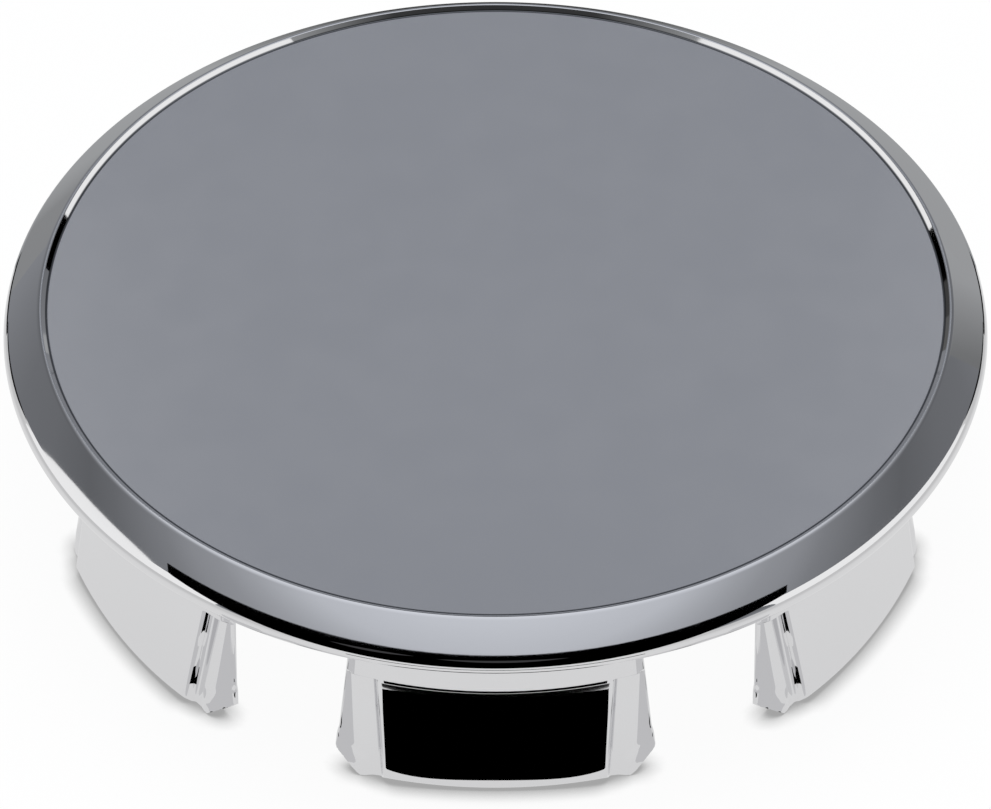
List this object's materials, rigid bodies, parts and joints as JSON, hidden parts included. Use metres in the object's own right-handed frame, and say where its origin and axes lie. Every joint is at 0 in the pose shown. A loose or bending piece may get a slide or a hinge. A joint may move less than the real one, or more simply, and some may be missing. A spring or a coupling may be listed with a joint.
{
  "type": "wheel centre cap",
  "caption": "Round bright-plated snap-in cap for the middle of a car wheel, with a flat recessed face, a bevelled ring with a rounded edge, and snap legs with raised pads.",
  "frame": {"origin": "middle of the circle that the feet of the legs stand on", "axes": "+Z along the cap's axis from the feet to the face, -Y through the middle of one leg"},
  "size_m": [0.083, 0.083, 0.0219],
  "materials": {
    "bright_plate": "bright decorative plate on moulded plastic, satin on the emblem seat"
  },
  "bodies": {
    "root": {"centre_cap": "bright_plate"}
  },
  "joints": []
}
